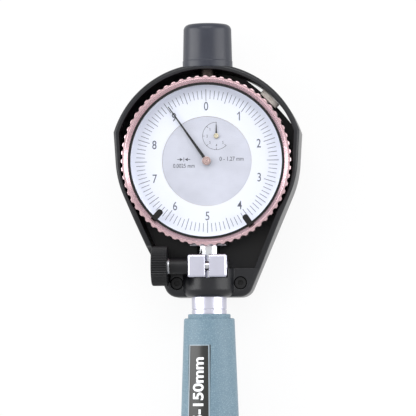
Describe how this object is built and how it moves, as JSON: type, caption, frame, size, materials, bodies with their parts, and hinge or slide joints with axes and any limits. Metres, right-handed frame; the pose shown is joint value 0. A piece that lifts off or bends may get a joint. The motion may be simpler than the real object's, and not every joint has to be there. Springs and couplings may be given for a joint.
{
  "type": "dial bore gauge",
  "caption": "Dial bore gauge lying on its back: dial indicator in a black guard, blue-grey grip, long tube and a measuring head with stylus, anvil and centring bridge.",
  "frame": {"origin": "middle of the bounding box at the plane that the gauge's back rests on", "axes": "+X to the right of the dial, +Y along the tube towards the cap, +Z out of the dial and up"},
  "size_m": [0.0624, 0.3572, 0.027],
  "materials": {
    "black_plastic": "moulded satin black, with rounded edges",
    "cap_rubber": "matte blue-grey",
    "black_steel": "blackened steel, satin",
    "bright_steel": "bright plated steel",
    "clamp_steel": "ground steel, satin",
    "head_steel": "satin plated steel",
    "tool_steel": "ground tool steel",
    "spring_steel": "spring wire",
    "grip_enamel": "blue-grey wrinkle enamel",
    "label_black": "black plate with white figures",
    "bezel_rose": "rose anodised, turned",
    "crystal_clear": "clear polished",
    "dial_white": "white enamel with grey divisions",
    "dial_grey": "satin silver",
    "pointer_black": "black lacquer",
    "hub_copper": "turned, brown plated",
    "case_metal": "cast and turned, satin",
    "brass": "turned brass",
    "ruby": "polished red stone"
  },
  "bodies": {
    "gauge_frame": {"guard_shell": "black_plastic", "guard_saddle": "black_plastic", "guard_screws": "black_steel", "guard_cap": "cap_rubber", "stem_clamp": "clamp_steel", "clamp_sleeve": "black_steel", "grip": "grip_enamel", "range_label": "label_black", "main_tube": "bright_steel", "rod_spring": "spring_steel", "rod_guides": "brass", "head_body": "head_steel", "head_end_cap": "head_steel", "end_cap_screws": "tool_steel", "stylus_bush": "brass", "anvil": "tool_steel", "anvil_lock_nut": "tool_steel", "crank_pin": "tool_steel", "bridge_springs": "spring_steel", "indicator_case": "case_metal", "back_cover": "case_metal", "back_cover_screws": "tool_steel", "stem": "bright_steel", "upper_bush": "hub_copper", "dial_centre_plate": "dial_grey", "hairspring": "spring_steel", "main_plate": "brass", "bridge_plate": "brass", "plate_pillars": "brass", "bridge_screws": "tool_steel", "main_plate_screws": "tool_steel", "jewel_bearings": "ruby", "return_spring": "spring_steel", "bezel_lock_shoe": "tool_steel"},
    "bezel_body": {"bezel": "bezel_rose", "crystal": "crystal_clear", "crystal_ring": "pointer_black", "dial_scale_ring": "dial_white", "dial_spacer": "dial_white"},
    "marker_left_body": {"limit_marker_left": "pointer_black"},
    "marker_right_body": {"limit_marker_right": "pointer_black"},
    "pointer_body": {"main_pointer": "pointer_black", "centre_arbor": "tool_steel"},
    "rack_wheel_body": {"rack_wheel": "brass"},
    "middle_wheel_body": {"intermediate_wheel": "brass"},
    "counter_body": {"counter_wheel": "brass", "counter_hand": "pointer_black"},
    "spindle_body": {"spindle": "tool_steel", "contact_point": "tool_steel", "spindle_cap": "hub_copper", "guide_pin": "tool_steel"},
    "rod_body": {"push_rod": "tool_steel"},
    "stylus_body": {"stylus": "tool_steel"},
    "crank_body": {"bell_crank": "tool_steel"},
    "bridge_body": {"centring_bridge": "head_steel", "bridge_shoes": "tool_steel", "bridge_guide_rods": "tool_steel"},
    "clamp_screw_body": {"clamp_screw": "bright_steel", "clamp_knob": "black_steel"},
    "lock_screw_body": {"bezel_lock_screw": "clamp_steel"}
  },
  "joints": [
    {"name": "pointer_spin", "type": "hinge", "parent": "gauge_frame", "child": "pointer_body", "pos_m": [0, 0.1319, 0.0213], "axis": [0, 0, -1], "range_deg": [0, 1800.9]},
    {"name": "rack_wheel_turn", "type": "hinge", "parent": "gauge_frame", "child": "rack_wheel_body", "pos_m": [0.00306, 0.1229, 0.01645], "axis": [0, 0, -1], "range_deg": [0, 50.02]},
    {"name": "middle_wheel_turn", "type": "hinge", "parent": "gauge_frame", "child": "middle_wheel_body", "pos_m": [0.00684, 0.1304, 0.01735], "axis": [0, 0, 1], "range_deg": [0, 300.15]},
    {"name": "counter_turn", "type": "hinge", "parent": "gauge_frame", "child": "counter_body", "pos_m": [0.00325, 0.14029, 0.01825], "axis": [0, 0, 1], "range_deg": [0, 225.11], "deforming": ["hairspring"]},
    {"name": "spindle_slide", "type": "slide", "parent": "gauge_frame", "child": "spindle_body", "axis": [0, 1, 0], "range_m": [0, 0.00127], "deforming": ["return_spring"]},
    {"name": "rod_slide", "type": "slide", "parent": "gauge_frame", "child": "rod_body", "axis": [0, 1, 0], "range_m": [0, 0.00127], "stiffness_N_per_m": 200, "springref_m": -0.01, "deforming": ["rod_spring"]},
    {"name": "crank_swing", "type": "hinge", "parent": "gauge_frame", "child": "crank_body", "pos_m": [-0.0045, -0.1661, 0.013], "axis": [0, 0, 1], "range_deg": [0, 16.18]},
    {"name": "stylus_press", "type": "slide", "parent": "gauge_frame", "child": "stylus_body", "axis": [1, 0, 0], "range_m": [0, 0.00127]},
    {"name": "bridge_press", "type": "slide", "parent": "gauge_frame", "child": "bridge_body", "axis": [1, 0, 0], "range_m": [0, 0.0029], "stiffness_N_per_m": 600, "springref_m": -0.003, "deforming": ["bridge_springs"]},
    {"name": "bezel_turn", "type": "hinge", "parent": "gauge_frame", "child": "bezel_body", "pos_m": [0, 0.1319, 0.02135], "axis": [0, 0, 1], "continuous": true},
    {"name": "left_marker_turn", "type": "hinge", "parent": "bezel_body", "child": "marker_left_body", "pos_m": [0, 0.1319, 0.0241], "axis": [0, 0, 1], "range_deg": [-127.8, 37.2]},
    {"name": "right_marker_turn", "type": "hinge", "parent": "bezel_body", "child": "marker_right_body", "pos_m": [0, 0.1319, 0.0241], "axis": [0, 0, 1], "range_deg": [-29.5, 135.5]},
    {"name": "clamp_screw_turn", "type": "hinge", "parent": "gauge_frame", "child": "clamp_screw_body", "pos_m": [-0.0133, 0.0969, 0.0204], "axis": [1, 0, 0], "range_deg": [0, 360]},
    {"name": "lock_screw_turn", "type": "hinge", "parent": "gauge_frame", "child": "lock_screw_body", "pos_m": [0.01895, 0.15085, 0.0145], "axis": [0.7071, 0.7071, 0], "range_deg": [0, 360]}
  ],
  "couplings": [
    {"joint": "crank_swing", "follows": "stylus_press", "rad_per_m": 222.22},
    {"joint": "rod_slide", "follows": "stylus_press", "ratio": 1},
    {"joint": "spindle_slide", "follows": "stylus_press", "ratio": 1},
    {"joint": "rack_wheel_turn", "follows": "stylus_press", "rad_per_m": 687.14},
    {"joint": "middle_wheel_turn", "follows": "stylus_press", "rad_per_m": 4122.8},
    {"joint": "counter_turn", "follows": "stylus_press", "rad_per_m": 3092.1},
    {"joint": "pointer_spin", "follows": "stylus_press", "rad_per_m": 24737}
  ]
}
